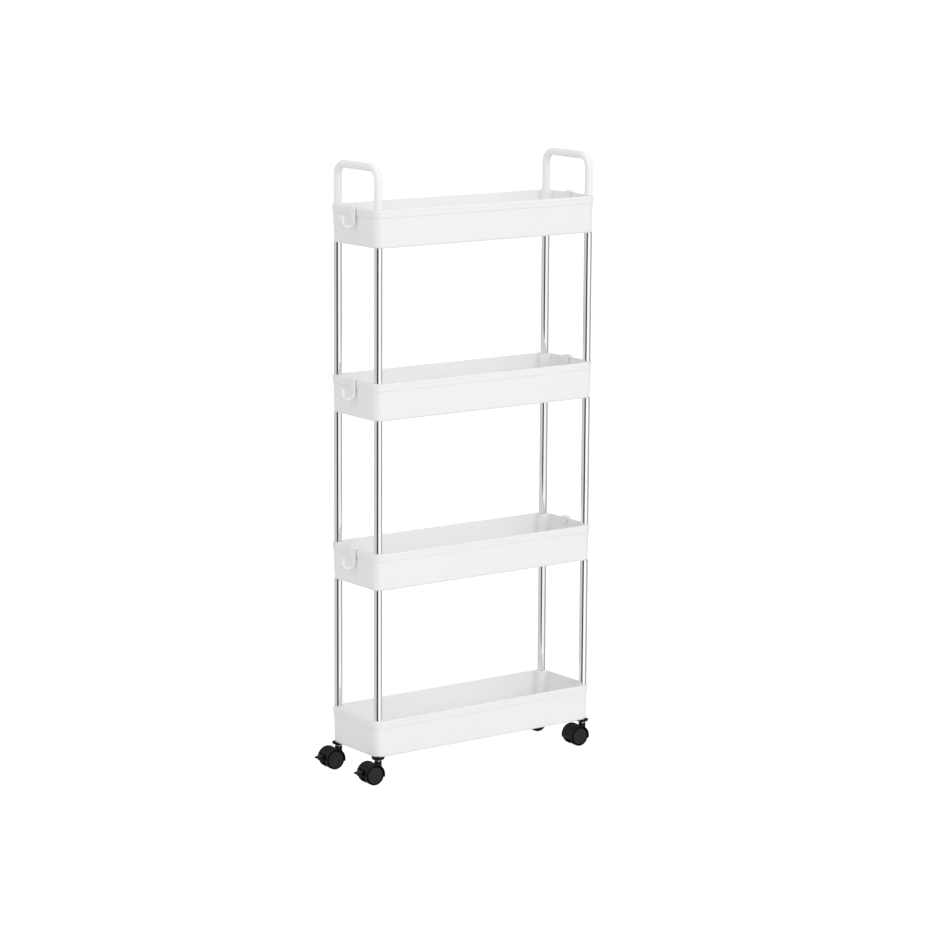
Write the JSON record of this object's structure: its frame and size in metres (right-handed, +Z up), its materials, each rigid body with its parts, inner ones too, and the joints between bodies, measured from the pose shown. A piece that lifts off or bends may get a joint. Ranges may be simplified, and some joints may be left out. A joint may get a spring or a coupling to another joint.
{
  "type": "rolling pantry cart",
  "caption": "Slim rolling cart of stacked white trays on push-fit chrome posts, with bar handles and hooks at both ends and braked twin-wheel casters.",
  "frame": {"origin": "on the floor, under the centre of the trays", "axes": "+Z up; +X along the trays, towards the end whose casters have no brake; +Y across the trays, away from the front"},
  "size_m": [0.4547, 0.1326, 0.909],
  "materials": {
    "tray_white": "satin moulded polypropylene, fine texture",
    "post_chrome": "bright chrome plate on drawn steel tube",
    "handle_white": "smooth satin plastic",
    "hook_white": "smooth semi-gloss plastic",
    "socket_black": "matt moulded plastic",
    "caster_steel": "turned and zinc plated",
    "spring_steel": "oiled spring steel",
    "hood_black": "matt moulded nylon, fine spark texture",
    "wheel_black": "satin moulded nylon"
  },
  "bodies": {
    "cart": {"tray_1": "tray_white", "tray_2": "tray_white", "tray_3": "tray_white", "tray_4": "tray_white", "post_1_fl": "post_chrome", "post_1_fr": "post_chrome", "post_1_bl": "post_chrome", "post_1_br": "post_chrome", "post_2_fl": "post_chrome", "post_2_fr": "post_chrome", "post_2_bl": "post_chrome", "post_2_br": "post_chrome", "post_3_fl": "post_chrome", "post_3_fr": "post_chrome", "post_3_bl": "post_chrome", "post_3_br": "post_chrome", "handle_left": "handle_white", "handle_right": "handle_white", "caster_socket_fl": "socket_black", "caster_socket_fr": "socket_black", "caster_socket_bl": "socket_black", "caster_socket_br": "socket_black", "caster_stem_fl": "caster_steel", "caster_stem_fr": "caster_steel", "caster_stem_bl": "caster_steel", "caster_stem_br": "caster_steel", "grip_ring_fl": "spring_steel", "grip_ring_fr": "spring_steel", "grip_ring_bl": "spring_steel", "grip_ring_br": "spring_steel"},
    "hook_2_left": {"hook_2_left": "hook_white"},
    "hook_2_right": {"hook_2_right": "hook_white"},
    "hook_3_left": {"hook_3_left": "hook_white"},
    "hook_3_right": {"hook_3_right": "hook_white"},
    "hook_4_left": {"hook_4_left": "hook_white"},
    "hook_4_right": {"hook_4_right": "hook_white"},
    "caster_fl": {"caster_hood_fl": "hood_black", "axle_fl": "caster_steel", "brake_pin_fl": "caster_steel"},
    "wheel_front_fl": {"wheel_front_fl": "wheel_black"},
    "wheel_rear_fl": {"wheel_rear_fl": "wheel_black"},
    "brake_fl": {"brake_lever_fl": "hood_black"},
    "caster_fr": {"caster_hood_fr": "hood_black", "axle_fr": "caster_steel"},
    "wheel_front_fr": {"wheel_front_fr": "wheel_black"},
    "wheel_rear_fr": {"wheel_rear_fr": "wheel_black"},
    "caster_bl": {"caster_hood_bl": "hood_black", "axle_bl": "caster_steel", "brake_pin_bl": "caster_steel"},
    "wheel_front_bl": {"wheel_front_bl": "wheel_black"},
    "wheel_rear_bl": {"wheel_rear_bl": "wheel_black"},
    "brake_bl": {"brake_lever_bl": "hood_black"},
    "caster_br": {"caster_hood_br": "hood_black", "axle_br": "caster_steel"},
    "wheel_front_br": {"wheel_front_br": "wheel_black"},
    "wheel_rear_br": {"wheel_rear_br": "wheel_black"}
  },
  "joints": [
    {"name": "hook_2_left_lift", "type": "slide", "parent": "cart", "child": "hook_2_left", "axis": [0, 0, 1], "range_m": [0, 0.03]},
    {"name": "hook_2_right_lift", "type": "slide", "parent": "cart", "child": "hook_2_right", "axis": [0, 0, 1], "range_m": [0, 0.03]},
    {"name": "hook_3_left_lift", "type": "slide", "parent": "cart", "child": "hook_3_left", "axis": [0, 0, 1], "range_m": [0, 0.03]},
    {"name": "hook_3_right_lift", "type": "slide", "parent": "cart", "child": "hook_3_right", "axis": [0, 0, 1], "range_m": [0, 0.03]},
    {"name": "hook_4_left_lift", "type": "slide", "parent": "cart", "child": "hook_4_left", "axis": [0, 0, 1], "range_m": [0, 0.03]},
    {"name": "hook_4_right_lift", "type": "slide", "parent": "cart", "child": "hook_4_right", "axis": [0, 0, 1], "range_m": [0, 0.03]},
    {"name": "swivel_fl", "type": "hinge", "parent": "cart", "child": "caster_fl", "pos_m": [-0.19, -0.052, 0.03], "axis": [0, 0, 1], "continuous": true},
    {"name": "wheel_front_fl_spin", "type": "hinge", "parent": "caster_fl", "child": "wheel_front_fl", "pos_m": [-0.20229, -0.05146, 0.015], "axis": [-0.0436, -0.999, 0], "continuous": true},
    {"name": "wheel_rear_fl_spin", "type": "hinge", "parent": "caster_fl", "child": "wheel_rear_fl", "pos_m": [-0.20229, -0.05146, 0.015], "axis": [-0.0436, -0.999, 0], "continuous": true},
    {"name": "brake_fl_press", "type": "hinge", "parent": "caster_fl", "child": "brake_fl", "pos_m": [-0.21208, -0.05104, 0.019], "axis": [-0.0436, -0.999, 0], "range_deg": [0, 10]},
    {"name": "swivel_fr", "type": "hinge", "parent": "cart", "child": "caster_fr", "pos_m": [0.19, -0.052, 0.03], "axis": [0, 0, 1], "continuous": true},
    {"name": "wheel_front_fr_spin", "type": "hinge", "parent": "caster_fr", "child": "wheel_front_fr", "pos_m": [0.17771, -0.05146, 0.015], "axis": [-0.0436, -0.999, 0], "continuous": true},
    {"name": "wheel_rear_fr_spin", "type": "hinge", "parent": "caster_fr", "child": "wheel_rear_fr", "pos_m": [0.17771, -0.05146, 0.015], "axis": [-0.0436, -0.999, 0], "continuous": true},
    {"name": "swivel_bl", "type": "hinge", "parent": "cart", "child": "caster_bl", "pos_m": [-0.19, 0.052, 0.03], "axis": [0, 0, 1], "continuous": true},
    {"name": "wheel_front_bl_spin", "type": "hinge", "parent": "caster_bl", "child": "wheel_front_bl", "pos_m": [-0.20229, 0.05254, 0.015], "axis": [-0.0436, -0.999, 0], "continuous": true},
    {"name": "wheel_rear_bl_spin", "type": "hinge", "parent": "caster_bl", "child": "wheel_rear_bl", "pos_m": [-0.20229, 0.05254, 0.015], "axis": [-0.0436, -0.999, 0], "continuous": true},
    {"name": "brake_bl_press", "type": "hinge", "parent": "caster_bl", "child": "brake_bl", "pos_m": [-0.21208, 0.05296, 0.019], "axis": [-0.0436, -0.999, 0], "range_deg": [0, 10]},
    {"name": "swivel_br", "type": "hinge", "parent": "cart", "child": "caster_br", "pos_m": [0.19, 0.052, 0.03], "axis": [0, 0, 1], "continuous": true},
    {"name": "wheel_front_br_spin", "type": "hinge", "parent": "caster_br", "child": "wheel_front_br", "pos_m": [0.17771, 0.05254, 0.015], "axis": [-0.0436, -0.999, 0], "continuous": true},
    {"name": "wheel_rear_br_spin", "type": "hinge", "parent": "caster_br", "child": "wheel_rear_br", "pos_m": [0.17771, 0.05254, 0.015], "axis": [-0.0436, -0.999, 0], "continuous": true}
  ]
}
